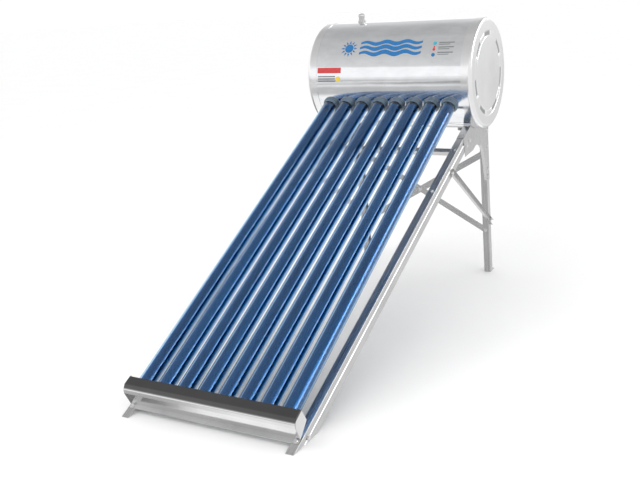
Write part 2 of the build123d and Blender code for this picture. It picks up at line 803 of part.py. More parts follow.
with BuildPart() as gusset:
    with BuildSketch(Plane.YZ.offset(plate_x)):
        with BuildLine():
            front_arc = ThreePointArc(arch_start, arch_crown, arch_side)
            TangentArc(arch_side, arm_front, tangent=front_arc % 1)
            Polyline(
                arm_front,
                arm_rear,
                leg_point(leg_reference_z - gusset_rear_drop, leg_depth / 2),
                (saddle_rear[0], leg_reference_z - gusset_rear_step),
                saddle_rear,
            )
            ThreePointArc(saddle_rear, saddle_low, saddle_front)
            Polyline(
                saddle_front,
                rail_point(flange_top_a, face_w),
                rail_point(front_edge_a, face_w),
                arch_point(*gusset_toe),
                arch_start,
            )
        make_face()
    extrude(amount=sheet)
    # Flange that laps the rail's top face
    with BuildSketch(Plane.YZ.offset(flange_x)):
        with BuildLine():
            Polyline(
                rail_point(front_edge_a, face_w),
                rail_point(flange_top_a, face_w),
                rail_point(flange_top_a, -lap),
                rail_point(front_edge_a, -lap),
                close=True,
            )
        make_face()
    extrude(amount=plate_face_x - flange_x)
    # Saddle the tank rests on
    with BuildSketch(Plane.YZ.offset(plate_face_x - saddle_width)):
        with BuildLine():
            inner_arc = ThreePointArc(saddle_rear, saddle_low, saddle_front)
            under = saddle_radius + sheet
            outer_arc = ThreePointArc(
                (saddle_rear[0], under_tank(saddle_end, under)),
                (tank_y, tank_z - under),
                (saddle_front[0], under_tank(saddle_start, under)),
            )
            Line(inner_arc @ 0, outer_arc @ 0)
            Line(inner_arc @ 1, outer_arc @ 1)
        make_face()
    extrude(amount=saddle_width)
    # Rolled flange round the arch
    with BuildSketch(Plane.YZ.offset(plate_face_x - arch_flange)):
        with BuildLine():
            rim = ThreePointArc(arch_start, arch_crown, arch_side)
            TangentArc(arch_side, arm_flange_end, tangent=rim % 1)
        trace(line_width=sheet)
    extrude(amount=arch_flange)
    side_holes(rail_gusset_bolts + leg_gusset_bolts)
    for dy in stud_offsets:
        with BuildSketch(Plane.XY.offset(tank_z - tank_radius - sheet * 4)):
            with Locations((stud_x, tank_y + dy)):
                Circle(bolt_hole_radius)
        extrude(amount=tank_radius / 4, mode=Mode.SUBTRACT)
save(gusset, "gusset_right")
save_mirrored(gusset, "gusset_left")

# ---- Braces and crossbar ---------------------------------------------------------------------

with BuildPart() as side_brace:
    run_y = brace_leg_bolt[0] - brace_bolt[0]
    run_z = brace_leg_bolt[1] - brace_bolt[1]
    run = sqrt(run_y**2 + run_z**2)
    brace_plane = Plane(
        origin=(plate_x, brace_bolt[0], brace_bolt[1]),
        x_dir=(1, 0, 0),
        z_dir=(0, run_y / run, run_z / run),
    )
    half = (brace_width - sheet) / 2
    with BuildSketch(brace_plane.offset(-brace_overrun)):
        with BuildLine():
            FilletPolyline(
                (brace_depth, -half), (sheet / 2, -half), (sheet / 2, half), (brace_depth, half),
                radius=bend,
            )
        trace(line_width=sheet)
    extrude(amount=run + 2 * brace_overrun)
    side_holes([brace_bolt, brace_leg_bolt])
save(side_brace, "side_brace_right")
save_mirrored(side_brace, "side_brace_left")

strip_low = leg_height(strip_heights[0])
strip_high = leg_height(strip_heights[1])
strip_run = sqrt((2 * strip_x) ** 2 + (strip_high - strip_low) ** 2)
strip_angle = degrees(atan2(strip_high - strip_low, 2 * strip_x))
front_face_v = -leg_depth / 2
strip_middle = (strip_low + strip_high) / 2


def make_strip(name, v, rise):
    """Flat strip across the legs; rise is 1 when its right end is the high one."""
    with BuildPart() as strip:
        with BuildSketch(leg_plane(0, strip_middle, v)):
            SlotCenterToCenter(strip_run, strip_width, rotation=rise * strip_angle)
            with Locations((0, 0)):
                Circle(bolt_hole_radius, mode=Mode.SUBTRACT)
            reach_y = rise * (strip_high - strip_low) / 2
            with Locations((strip_x, reach_y), (-strip_x, -reach_y)):
                Circle(bolt_hole_radius, mode=Mode.SUBTRACT)
        extrude(amount=sheet)
    save(strip, name)


make_strip("cross_brace_front", front_face_v - lap, 1)
make_strip("cross_brace_rear", front_face_v + 2 * sheet + lap, -1)

with BuildPart() as upper_crossbar:
    bar_half = web_x - bead_depth - crossbar_end_gap
    y, z = rail_point(crossbar_a, sheet + lap)
    bar_plane = Plane(
        origin=(-bar_half, y, z), x_dir=(0, cos(slope), sin(slope)), z_dir=(1, 0, 0)
    )
    half = (crossbar_width - sheet) / 2
    with BuildSketch(bar_plane):
        with BuildLine():
            FilletPolyline(
                (-half, -crossbar_height), (-half, -sheet / 2), (half, -sheet / 2),
                (half, -crossbar_height),
                radius=bend,
            )
        trace(line_width=sheet)
    extrude(amount=2 * bar_half)
    for side in (-1, 1):
        with BuildSketch(flange_plane(crossbar_a, side * stud_x)):
            Circle(bolt_hole_radius)
        extrude(amount=4 * sheet, both=True, mode=Mode.SUBTRACT)
save(upper_crossbar, "upper_crossbar")

# ---- Feet ------------------------------------------------------------------------------------

with BuildPart() as rear_feet:
    back = leg_depth / 2 + lap + foot_sheet / 2
    heel = leg_point(foot_sheet / 2, back)
    with BuildSketch(Plane.YZ.offset(flange_x)):
        with BuildLine():
            FilletPolyline(
                (heel[0] + foot_reach, foot_sheet / 2), heel, leg_point(foot_height, back),
                radius=foot_sheet,
            )
        trace(line_width=foot_sheet)
    extrude(amount=foot_width)
    rear_anchor_y = heel[0] + foot_reach / 2
    with BuildSketch(Plane.XY):
        with Locations((anchor_x, rear_anchor_y)):
            Circle(anchor_hole_radius)
    extrude(amount=foot_sheet, mode=Mode.SUBTRACT)
    with BuildSketch(leg_plane(strip_x, foot_bolt_rise)):
        Circle(bolt_hole_radius)
    extrude(amount=-leg_depth, mode=Mode.SUBTRACT)
    mirror(about=Plane.YZ)
save(rear_feet, "rear_feet")

with BuildPart() as front_feet:
    leaf_x = web_x - bead_depth - lap * 2 - foot_sheet / 2
    with BuildSketch(Plane.XZ.offset(-front_foot_y - front_foot_length / 2)):
        with BuildLine():
            FilletPolyline(
                (leaf_x, front_foot_height),
                (leaf_x, foot_sheet / 2),
                (leaf_x - foot_width - foot_sheet, foot_sheet / 2),
                radius=foot_sheet,
            )
        trace(line_width=foot_sheet)
    extrude(amount=front_foot_length)
    with BuildSketch(Plane.XY):
        with Locations((anchor_x, front_foot_y)):
            Circle(anchor_hole_radius)
    extrude(amount=foot_sheet, mode=Mode.SUBTRACT)
    side_holes([front_foot_bolt])
    mirror(about=Plane.YZ)
save(front_feet, "front_feet")

# ---- Fasteners -------------------------------------------------------------------------------

# Each fastener is its head's seat, facing away from the joint, and the stack it clamps.
side_stack = sheet + lap + sheet
leaf_stack = sheet + bead_depth + lap * 2 + foot_sheet
fasteners = []
for y, z in [brace_bolt, brace_leg_bolt] + rail_gusset_bolts + leg_gusset_bolts:
    fasteners.append((Plane(origin=(plate_face_x, y, z), z_dir=(1, 0, 0)), side_stack))
foot_origin = (frame_x, front_foot_bolt[0], front_foot_bolt[1])
fasteners.append((Plane(origin=foot_origin, z_dir=(1, 0, 0)), leaf_stack))
fasteners.append((flange_plane(tray_bolt_a, stud_x, sheet + 2 * lap), side_stack + lap))
fasteners.append((flange_plane(crossbar_a, stud_x), side_stack))
fasteners.append((flange_plane(spare_bolt_a, stud_x), sheet))
foot_bolt = leg_plane(strip_x, foot_bolt_rise, leg_depth / 2 + lap + foot_sheet)
foot_seat = Plane(origin=foot_bolt.origin, x_dir=(1, 0, 0), z_dir=-foot_bolt.z_dir)
fasteners.append((foot_seat, sheet + lap + foot_sheet))


def add_bolt(seat, stack):
    with BuildSketch(seat) as head:
        hexagon(bolt_across)
    extrude(head.sketch, amount=bolt_head)
    with BuildSketch(seat) as shank:
        Circle(bolt_radius)
    extrude(shank.sketch, amount=-(stack + nut_height + bolt_tail))


def add_nut(seat, stack):
    with BuildSketch(seat.offset(-stack)) as nut:
        hexagon(bolt_across)
        Circle(bolt_radius + nut_clearance, mode=Mode.SUBTRACT)
    extrude(nut.sketch, amount=-nut_height)


# The crossed strips: one bolt at each end and one where they cross.
front_strip_v = front_face_v - lap - sheet
strip_fasteners = [
    (leg_plane(strip_x, strip_high, front_strip_v), side_stack),
    (leg_plane(-strip_x, strip_low, front_strip_v), side_stack),
    (leg_plane(strip_x, strip_low, front_face_v), side_stack),
    (leg_plane(-strip_x, strip_high, front_face_v), side_stack),
    (leg_plane(0, strip_middle, front_strip_v), 3 * sheet + 2 * lap),
]

with BuildPart() as frame_bolts:
    for seat, stack in fasteners:
        add_bolt(seat, stack)
    mirror(about=Plane.YZ)
    for seat, stack in strip_fasteners:
        add_bolt(seat, stack)
save(frame_bolts, "frame_bolts")

with BuildPart() as frame_nuts:
    for seat, stack in fasteners:
        add_nut(seat, stack)
    mirror(about=Plane.YZ)
    for seat, stack in strip_fasteners:
        add_nut(seat, stack)
save(frame_nuts, "frame_nuts")

with BuildPart() as tank_studs:
    for x, dy in stud_places:
        top = under_tank(dy, shell_radius - tank_sheet) + stud_inset
        bottom = under_tank(dy, saddle_radius) - nut_height - stud_tail
        with BuildSketch(Plane.XY.offset(bottom)):
            with Locations((x, tank_y + dy)):
                Circle(bolt_radius)
        extrude(amount=top - bottom)
        with BuildSketch(Plane.XY.offset(top)):
            with Locations((x, tank_y + dy)):
                Circle(stud_head_radius)
        extrude(amount=stud_head_height)
save(tank_studs, "tank_studs")

with BuildPart() as tank_stud_nuts:
    for x, dy in stud_places:
        nearest = abs(dy) - bolt_across * hexagon_corner
        nut_top = tank_z - sqrt((saddle_radius + sheet) ** 2 - nearest**2) - lap
        with BuildSketch(Plane.XY.offset(nut_top - nut_height)):
            with Locations((x, tank_y + dy)):
                hexagon(bolt_across)
                Circle(bolt_radius + nut_clearance, mode=Mode.SUBTRACT)
        extrude(amount=nut_height)
save(tank_stud_nuts, "tank_stud_nuts")

print(f"tank axis y {tank_y:.1f} z {tank_z:.1f}; rail slope {degrees(slope):.2f} degrees")
print(f"anchor holes at x {anchor_x:.1f}, y {front_foot_y:.1f} and {rear_anchor_y:.1f}")
print(f"ports at y {tank_y + port_y:.1f}, end z {port_end_z:.1f}; vent top z {vent_top_z:.1f}")
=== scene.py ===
import json
import math

import bmesh
import bpy
from mathutils import Matrix, Vector


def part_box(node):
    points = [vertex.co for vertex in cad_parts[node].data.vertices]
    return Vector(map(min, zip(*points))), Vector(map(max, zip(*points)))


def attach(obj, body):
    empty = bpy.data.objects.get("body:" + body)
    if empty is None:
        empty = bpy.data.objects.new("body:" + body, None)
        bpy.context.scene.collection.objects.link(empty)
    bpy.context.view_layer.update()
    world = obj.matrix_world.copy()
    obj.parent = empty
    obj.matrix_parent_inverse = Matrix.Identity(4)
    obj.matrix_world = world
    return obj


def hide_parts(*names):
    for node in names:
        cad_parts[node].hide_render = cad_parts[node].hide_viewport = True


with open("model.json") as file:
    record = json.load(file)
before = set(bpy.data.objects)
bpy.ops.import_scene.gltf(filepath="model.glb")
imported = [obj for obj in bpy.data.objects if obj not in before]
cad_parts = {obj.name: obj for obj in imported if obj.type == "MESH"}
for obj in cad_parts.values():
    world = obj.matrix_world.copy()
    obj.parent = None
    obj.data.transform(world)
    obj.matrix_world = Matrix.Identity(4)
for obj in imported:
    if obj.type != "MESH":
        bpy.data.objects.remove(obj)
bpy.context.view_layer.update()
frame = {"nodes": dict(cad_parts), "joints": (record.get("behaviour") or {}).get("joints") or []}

ROOT = "frame_and_tank"
MM = 0.001

# The range that a noise texture's values mostly fall in.
NOISE_LOW = 0.3
NOISE_HIGH = 0.7

# ---- Places read from the frame --------------------------------------------------------------

shell_low, shell_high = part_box("tank_shell")
tank_y = (shell_low.y + shell_high.y) / 2
tank_z = (shell_low.z + shell_high.z) / 2
shell_radius = (shell_high.z - shell_low.z) / 2
cap_low, cap_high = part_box("end_cap_right")
cap_radius = (cap_high.z - cap_low.z) / 2
seam_x = cap_low.x
tank_half = cap_high.x
tube_joint = next(j for j in frame["joints"] if j["name"] == "tube_1_slide")
tube_up = Vector(tube_joint["axis"])
rail_low, rail_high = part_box("rail_right")
tube_numbers = [int(n.split("_")[1]) for n in frame["nodes"] if n.endswith("_outer_glass")]


# ---- Materials -------------------------------------------------------------------------------


class Look:
    """A node material under construction."""

    def __init__(self, name, colour, roughness, metallic=0.0):
        self.material = bpy.data.materials.new(name)
        self.material.use_nodes = True
        self.tree = self.material.node_tree
        self.shader = self.tree.nodes["Principled BSDF"]
        self.set("Base Color", (*colour, 1.0))
        self.set("Roughness", roughness)
        self.set("Metallic", metallic)

    def set(self, socket, value):
        self.shader.inputs[socket].default_value = value

    def node(self, kind, **values):
        made = self.tree.nodes.new(kind)
        for key, value in values.items():
            setattr(made, key, value)
        return made

    def link(self, source, target):
        self.tree.links.new(source, target)

    def coordinates(self, scale=(1, 1, 1), turn=(0, 0, 0)):
        """Object coordinates, turned and then stretched: a small scale draws long features."""
        where = self.node("ShaderNodeTexCoord")
        turned = self.node("ShaderNodeMapping")
        turned.inputs["Rotation"].default_value = turn
        stretched = self.node("ShaderNodeMapping")
        stretched.inputs["Scale"].default_value = scale
        self.link(where.outputs["Object"], turned.inputs["Vector"])
        self.link(turned.outputs["Vector"], stretched.inputs["Vector"])
        return stretched.outputs["Vector"]

    def noise(self, where, scale, detail=3.0, roughness=0.5):
        made = self.node("ShaderNodeTexNoise")
        made.inputs["Scale"].default_value = scale
        made.inputs["Detail"].default_value = detail
        made.inputs["Roughness"].default_value = roughness
        self.link(where, made.inputs["Vector"])
        return made.outputs["Fac"]

    def spread(self, source, low, high):
        """Stretches a noise value's middle range to low..high."""
        made = self.node("ShaderNodeMapRange")
        made.inputs["From Min"].default_value = NOISE_LOW
        made.inputs["From Max"].default_value = NOISE_HIGH
        made.inputs["To Min"].default_value = low
        made.inputs["To Max"].default_value = high
        self.link(source, made.inputs["Value"])
        return made.outputs["Result"]

    def colours(self, source, *stops):
        """A colour ramp from (place, colour) stops."""
        ramp = self.node("ShaderNodeValToRGB")
        elements = ramp.color_ramp.elements
        while len(elements) < len(stops):
            elements.new(0.5)
        for element, (place, colour) in zip(elements, stops):
            element.position = place
            element.color = (*colour, 1.0)
        self.link(source, ramp.inputs["Fac"])
        return ramp.outputs["Color"]

    def vary_colour(self, source, *stops):
        self.link(self.colours(source, *stops), self.shader.inputs["Base Color"])

    def vary_roughness(self, source, low, high):
        self.link(self.spread(source, low, high), self.shader.inputs["Roughness"])

    def bump(self, source, distance, strength=1.0):
        made = self.node("ShaderNodeBump")
        made.inputs["Strength"].default_value = strength
        made.inputs["Distance"].default_value = distance
        self.link(source, made.inputs["Height"])
        last = self.shader.inputs["Normal"].links
        if last:
            self.link(last[0].from_socket, made.inputs["Normal"])
        self.link(made.outputs["Normal"], self.shader.inputs["Normal"])


def turn_onto_y(direction):
    """Mapping angles that lay a direction in the YZ plane along the mapped Y axis."""
    return (-math.atan2(direction.z, direction.y), 0, 0)


along_x = Vector((1, 0, 0))


def brushed_steel(name, shade, roughness, direction):
    """Stainless sheet with its rolling grain along a direction, or an even satin."""
    look = Look(name, (shade, shade, shade * 1.01), roughness, 1.0)
    across, lengthwise, even = 420, 3, 180
    turn = (0, 0, 0)
    if not direction:
        stretch = (even, even, even)
    elif direction == along_x:
        stretch = (lengthwise, across, across)
    else:
        turn = turn_onto_y(direction)
        stretch = (across, lengthwise, across)
    grain_place = look.coordinates(stretch, turn)
    grain = look.noise(grain_place, 1.0, 4.0, 0.6)
    smudge = look.noise(look.coordinates((1, 1, 1), turn), 7.0, 3.0)
    dark = shade * 0.86
    look.vary_colour(smudge, (0.3, (dark, dark, dark * 1.01)), (0.7, (shade, shade, shade)))
    look.vary_roughness(grain, roughness * 0.75, roughness * 1.3)
    look.bump(grain, 0.00003, 0.5)
    look.bump(smudge, 0.0015, 0.25)
    return look


def tank_steel():
    """Mirror-rolled stainless sheet, with a faint draw along the tank and soft dents."""
    look = Look("tank_steel", (0.80, 0.81, 0.83), 0.1, 1.0)
    grain = look.noise(look.coordinates((2, 300, 300)), 1.0, 4.0, 0.6)
    dents = look.noise(look.coordinates((1.5, 1, 1)), 4.5, 1.0)
    smears = look.noise(look.coordinates((1, 2, 2)), 9.0, 5.0, 0.65)
    look.vary_colour(smears, (0.3, (0.74, 0.75, 0.77)), (0.7, (0.84, 0.85, 0.87)))
    look.vary_roughness(grain, 0.07, 0.14)
    look.bump(dents, 0.006, 0.25)
    look.bump(grain, 0.00002, 0.4)
    return look


def toned(look, source, *stops):
    """Multiplies the base colour by a grey ramp of source, from (place, shade) stops."""
    made = look.node("ShaderNodeMix", data_type="RGBA", blend_type="MULTIPLY")
    made.inputs["Factor"].default_value = 1.0
    look.link(look.shader.inputs["Base Color"].links[0].from_socket, made.inputs["A"])
    shades = look.colours(source, *[(place, (shade, shade, shade)) for place, shade in stops])
    look.link(shades, made.inputs["B"])
    look.link(made.outputs["Result"], look.shader.inputs["Base Color"])


def tray_steel():
    """Bright folded sheet, with a painted dark reflection on its top strip and hem, set by height
    off the tubes' plane.

    The painted reflection stands in for a dark surround that the studio doesn't have.
    """
    look = brushed_steel("tray_steel", 0.80, 0.14, along_x)
    rise = look.node("ShaderNodeVectorMath", operation="DOT_PRODUCT")
    where = look.node("ShaderNodeTexCoord")
    look.link(where.outputs["Object"], rise.inputs[0])
    off_tubes = Vector((0, -tube_up.z, tube_up.y))
    rise.inputs[1].default_value = off_tubes
    axis_height = off_tubes.dot(Vector((0, tank_y, tank_z)))
    span = look.node("ShaderNodeMapRange")
    below_axis, above_axis = 0.06, 0.04
    span.inputs["From Min"].default_value = axis_height - below_axis
    span.inputs["From Max"].default_value = axis_height + above_axis
    look.link(rise.outputs["Value"], span.inputs["Value"])
    # Painted reflection: the hem and the top strip are darkened in the base colour.
    hem_painted_reflection, top_painted_reflection = 0.5, 0.16
    toned(
        look, span.outputs["Result"],
        (0.10, hem_painted_reflection), (0.16, 1.0), (0.84, 1.0), (0.87, top_painted_reflection),
    )
    return look


def cap_steel(name="cap_steel"):
    """Pressed stainless cap, a little duller than the shell."""
    look = Look(name, (0.86, 0.86, 0.87), 0.2, 1.0)
    spun = look.noise(look.coordinates((60, 6, 6)), 1.0, 3.0)
    smears = look.noise(look.coordinates(), 6.0, 4.0, 0.6)
    look.vary_colour(smears, (0.3, (0.80, 0.80, 0.81)), (0.7, (0.88, 0.88, 0.89)))
    look.vary_roughness(smears, 0.15, 0.26)
    look.bump(spun, 0.0002, 0.2)
    return look


def ringed_cap_steel():
    """The cap's steel, with painted shade along its pressed ring so that the groove reads."""
    look = cap_steel("ringed_cap_steel")
    where = look.node("ShaderNodeTexCoord")
    centred = look.node("ShaderNodeVectorMath", operation="SUBTRACT")
    look.link(where.outputs["Object"], centred.inputs[0])
    centred.inputs[1].default_value = (0, tank_y, tank_z)
    flat = look.node("ShaderNodeVectorMath", operation="MULTIPLY")
    look.link(centred.outputs["Vector"], flat.inputs[0])
    flat.inputs[1].default_value = (0, 1, 1)
    reach = look.node("ShaderNodeVectorMath", operation="LENGTH")
    look.link(flat.outputs["Vector"], reach.inputs[0])
    share = look.node("ShaderNodeMath", operation="DIVIDE")
    look.link(reach.outputs["Value"], share.inputs[0])
    share.inputs[1].default_value = cap_radius
    # Painted shade: the base colour is darkened in the pressed ring's groove.
    ring_painted_shade = 0.42
    toned(
        look, share.outputs["Value"],
        (0.665, 1.0), (0.69, ring_painted_shade), (0.74, ring_painted_shade), (0.765, 1.0),
    )
    return look


def rubber(name, shade):
    look = Look(name, shade, 0.4)
    grain = look.noise(look.coordinates(), 700.0, 3.0)
    bloom = look.noise(look.coordinates(), 30.0, 4.0)
    pale = tuple(c * 1.7 + 0.02 for c in shade)
    look.vary_colour(bloom, (0.3, shade), (0.75, pale))
    look.vary_roughness(bloom, 0.2, 0.38)
    look.bump(grain, 0.0001, 0.5)
    return look


def outer_glass():
    look = Look("tube_glass", (0.56, 0.76, 0.94), 0.015)
    look.set("Transmission Weight", 1.0)
    look.set("IOR", 1.47)
    draw = look.noise(look.coordinates((160, 1.2, 160), turn_onto_y(tube_up)), 1.0, 2.0)
    dust = look.noise(look.coordinates(), 60.0, 5.0, 0.7)
    look.vary_roughness(dust, 0.008, 0.04)
    look.bump(draw, 0.00001, 0.2)
    return look


def absorber():
    """Sputtered selective coating: deep blue metal with a pale blue edge tint."""
    look = Look("absorber_coating", (0.01, 0.08, 0.25), 0.2, 0.9)
    along = look.coordinates((40, 1.5, 40), turn_onto_y(tube_up))
    tint = look.noise(along, 1.0, 4.0, 0.6)
    speck = look.noise(look.coordinates(), 90.0, 5.0, 0.7)
    look.vary_colour(tint, (0.3, (0.004, 0.095, 0.21)), (0.7, (0.010, 0.20, 0.39)))
    look.set("Specular Tint", (0.35, 0.65, 0.95, 1.0))
    look.vary_roughness(speck, 0.07, 0.15)
    look.bump(tint, 0.00003, 0.2)
    return look


def chrome():
    look = Look("fastener_chrome", (0.82, 0.82, 0.83), 0.14, 1.0)
    wear = look.noise(look.coordinates(), 120.0, 4.0)
    look.vary_colour(wear, (0.3, (0.66, 0.66, 0.67)), (0.7, (0.86, 0.86, 0.87)))
    look.vary_roughness(wear, 0.1, 0.24)
    look.bump(wear, 0.0001, 0.3)
    return look


def plastic(name, shade, roughness=0.4):
    look = Look(name, shade, roughness)
    grain = look.noise(look.coordinates(), 500.0, 2.0)
    tone = look.noise(look.coordinates(), 20.0, 3.0)
    pale = tuple(min(1.0, c * 1.35 + 0.01) for c in shade)
    look.vary_colour(tone, (0.3, shade), (0.75, pale))
    look.vary_roughness(tone, roughness * 0.85, roughness * 1.2)
    look.bump(grain, 0.00008, 0.4)
    return look


def foam():
    look = Look("foam", (0.86, 0.78, 0.52), 0.9)
    cells = look.noise(look.coordinates(), 380.0, 6.0, 0.7)
    look.vary_colour(cells, (0.3, (0.74, 0.64, 0.38)), (0.7, (0.92, 0.85, 0.62)))
    look.bump(cells, 0.0012, 0.8)
    return look


def print_ink(name, colour):
    """Vinyl print on the tank: flat colour with a light gloss and slight unevenness."""
    look = Look(name, colour, 0.32)
    tone = look.noise(look.coordinates(), 80.0, 4.0)
    deep = tuple(c * 0.88 for c in colour)
    look.vary_colour(tone, (0.3, deep), (0.7, colour))
    look.vary_roughness(tone, 0.26, 0.4)
    look.set("Coat Weight", 0.4)
    return look


rail_rise = (rail_high.z - rail_low.z) / (rail_high.y - rail_low.y)
rail_direction = Vector((0, 1, rail_rise)).normalized()
leg_lean = math.radians(5.3)
leg_direction = Vector((0, -math.sin(leg_lean), math.cos(leg_lean)))

looks = {
    "tank": tank_steel(),
    "cap": ringed_cap_steel(),
    "cap_plain": cap_steel(),
    "inner": brushed_steel("inner_steel", 0.66, 0.35, along_x),
    "rail": brushed_steel("rail_steel", 0.64, 0.3, rail_direction),
    "leg": brushed_steel("leg_steel", 0.59, 0.24, leg_direction),
    "bar": brushed_steel("bar_steel", 0.60, 0.24, along_x),
    "strip": brushed_steel("strip_steel", 0.6, 0.24, None),
    "tray": tray_steel(),
    "port": brushed_steel("port_steel", 0.6, 0.3, leg_direction),
    "glass": outer_glass(),
    "absorber": absorber(),
    "chrome": chrome(),
    "dust_rubber": rubber("dust_rubber", (0.075, 0.11, 0.15)),
    "silicone": rubber("silicone", (0.42, 0.42, 0.40)),
    "cup": plastic("cup_plastic", (0.02, 0.02, 0.022)),
    "foam": foam(),
    "magnesium": brushed_steel("magnesium", 0.5, 0.5, leg_direction),
    "ink_blue": print_ink("ink_blue", (0.003, 0.155, 0.42)),
    "ink_teal": print_ink("ink_teal", (0.03, 0.40, 0.50)),
    "ink_red": print_ink("ink_red", (0.62, 0.03, 0.03)),
    "ink_grey": print_ink("ink_grey", (0.16, 0.17, 0.18)),
    "ink_yellow": print_ink("ink_yellow", (0.85, 0.62, 0.05)),
}

node_looks = {
    "tank_shell": "tank",
    "end_cap_right": "cap",
    "end_cap_left": "cap",
    "inner_tank": "inner",
    "insulation_foam": "foam",
    "tube_seals": "silicone",
    "dust_rings": "dust_rubber",
    "cold_inlet_nipple": "port",
    "hot_outlet_nipple": "port",
    "anode_plug": "port",
    "anode_rod": "magnesium",
    "vent_nipple": "port",
    "vent_cap": "chrome",
    "tail_tray": "tray",
    "tray_end_right": "tray",
    "tray_end_left": "tray",
    "tube_cups": "cup",
    "rail_right": "rail",
    "rail_left": "rail",
    "leg_right": "leg",
    "leg_left": "leg",
    "gusset_right": "leg",
    "gusset_left": "leg",
    "side_brace_right": "leg",
    "side_brace_left": "leg",
    "cross_brace_front": "strip",
    "cross_brace_rear": "strip",
    "upper_crossbar": "bar",
    "rear_feet": "bar",
    "front_feet": "bar",
    "frame_bolts": "chrome",
    "frame_nuts": "chrome",
    "tank_studs": "chrome",
    "tank_stud_nuts": "chrome",
}
for number in tube_numbers:
    node_looks[f"tube_{number}_outer_glass"] = "glass"
    node_looks[f"tube_{number}_absorber"] = "absorber"
    node_looks[f"tube_{number}_clip"] = "chrome"

for name, node in frame["nodes"].items():
    node.data.materials.clear()
    node.data.materials.append(looks[node_looks[name]].material)


# ---- Mesh helpers ----------------------------------------------------------------------------


def add_piece(name, mesh, look, body=ROOT):
    piece = bpy.data.objects.new(name, mesh)
    bpy.context.scene.collection.objects.link(piece)
    mesh.materials.append(looks[look].material)
    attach(piece, body)
    return piece


def mesh_from(shape, name):
    mesh = bpy.data.meshes.new(name)
    shape.to_mesh(mesh)
    shape.free()
    return mesh


def soften_edges(piece, width, segments):
    edges = piece.modifiers.new("edges", "BEVEL")
    edges.width = width
    edges.segments = segments
    edges.angle_limit = math.radians(25)


def on_tank(x, angle, lift=0.0):
    """Point on the shell at x, angle radians up from the front, lifted off its surface."""
    reach = shell_radius + lift
    return Vector((x, tank_y - reach * math.cos(angle), tank_z + reach * math.sin(angle)))


print_lift = 0.0003
print_thickness = 0.0002
strip_height = 3.0


def decal(name, outlines, centre_x, centre_angle, look):
    """Thin print: flat outlines in millimetres, cut in strips and wrapped on the shell."""
    shape = bmesh.new()
    for outline in outlines:
        corners = [shape.verts.new((x, y, 0)) for x, y in outline]
        shape.faces.new(corners)
    bmesh.ops.triangulate(shape, faces=shape.faces[:])
    ys = [v.co.y for v in shape.verts]
    cut = math.floor(min(ys) / strip_height) * strip_height
    while cut < max(ys):
        geometry = shape.verts[:] + shape.edges[:] + shape.faces[:]
        bmesh.ops.bisect_plane(shape, geom=geometry, plane_co=(0, cut, 0), plane_no=(0, 1, 0))
        cut += strip_height
    bmesh.ops.dissolve_degenerate(shape, dist=1e-4, edges=shape.edges[:])
    for vertex in shape.verts:
        angle = centre_angle + vertex.co.y * MM / shell_radius
        vertex.co = on_tank(centre_x + vertex.co.x * MM, angle, print_lift)
    bmesh.ops.recalc_face_normals(shape, faces=shape.faces[:])
    flat_faces = shape.faces[:]
    outward = on_tank(centre_x, centre_angle, 1) - on_tank(centre_x, centre_angle)
    if flat_faces[0].normal.dot(outward) < 0:
        bmesh.ops.reverse_faces(shape, faces=flat_faces)
    piece = add_piece(name, mesh_from(shape, name), look)
    film = piece.modifiers.new("film", "SOLIDIFY")
    film.thickness = print_thickness
    film.offset = 1


def disc(cx, cy, radius, sides=40):
    turns = [2 * math.pi * i / sides for i in range(sides)]
    return [(cx + radius * math.cos(t), cy + radius * math.sin(t)) for t in turns]


def bar(x0, x1, y0, y1):
    return [(x0, y0), (x1, y0), (x1, y1), (x0, y1)]


def wave_bar(x0, x1, y, height, swing, wave):
    """A wavy horizontal bar that tapers towards both ends."""
    steps = 48
    blunt = 0.08
    top, bottom = [], []
    for i in range(steps + 1):
        share = i / steps
        x = x0 + (x1 - x0) * share
        middle = y + swing * math.sin(2 * math.pi * (x - x0) / wave)
        half = height / 2 * math.sin(math.pi * (blunt + (1 - 2 * blunt) * share)) ** 0.5
        top.append((x, middle + half))
        bottom.append((x, middle - half))
    return top + bottom[::-1]


def ray(cx, cy, turn, inner, outer, half_width):
    """A tapered sun ray."""
    along = Vector((math.cos(turn), math.sin(turn)))
    side = Vector((-along.y, along.x)) * half_width
    root = Vector((cx, cy)) + along * inner
    tip = Vector((cx, cy)) + along * outer
    return [tuple(root + side), tuple(root - side), tuple(tip)]


# ---- Prints on the tank ----------------------------------------------------------------------

motif_x = -0.035
motif_angle = math.radians(34)
sun_x = -150
ray_count = 12
sun = [disc(sun_x, 0, 20)]
for i in range(ray_count):
    sun.append(ray(sun_x, 0, 2 * math.pi * i / ray_count, 24, 39, 4.5))
decal("motif_sun", sun, motif_x, motif_angle, "ink_blue")
waves = [wave_bar(-98, 190, level, 20, 6, 96) for level in (-25, 0, 25)]
decal("motif_waves", waves, motif_x, motif_angle, "ink_blue")

hint_x = 0.25
hint_angle = math.radians(31)
decal(
    "hint_lines",
    [bar(-20, 48, level, level + 4) for level in (28, 6, -18)]
    + [bar(-20, 30, level, level + 3) for level in (20, -2, -26)],
    hint_x, hint_angle, "ink_grey",
)
decal("hint_sun_dot", [disc(-38, 27, 8)], hint_x, hint_angle, "ink_teal")
decal("hint_heat_bar", [disc(-38, -2, 6), bar(-40.5, -35.5, 1, 14)], hint_x, hint_angle, "ink_red")
decal("hint_drop", [disc(-38, -26, 8)], hint_x, hint_angle, "ink_blue")

label_x = -0.272
label_angle = math.radians(0.5)
decal("label_band", [bar(-58, 58, -12, 12)], label_x, math.radians(10), "ink_red")
decal(
    "label_lines",
    [bar(-56, 30, level, level + 5) for level in (-10, 0, 10)],
    label_x, label_angle, "ink_grey",
)
decal("label_dot", [disc(44, 2, 11)], label_x, label_angle, "ink_yellow")


# ---- Pressed details -------------------------------------------------------------------------


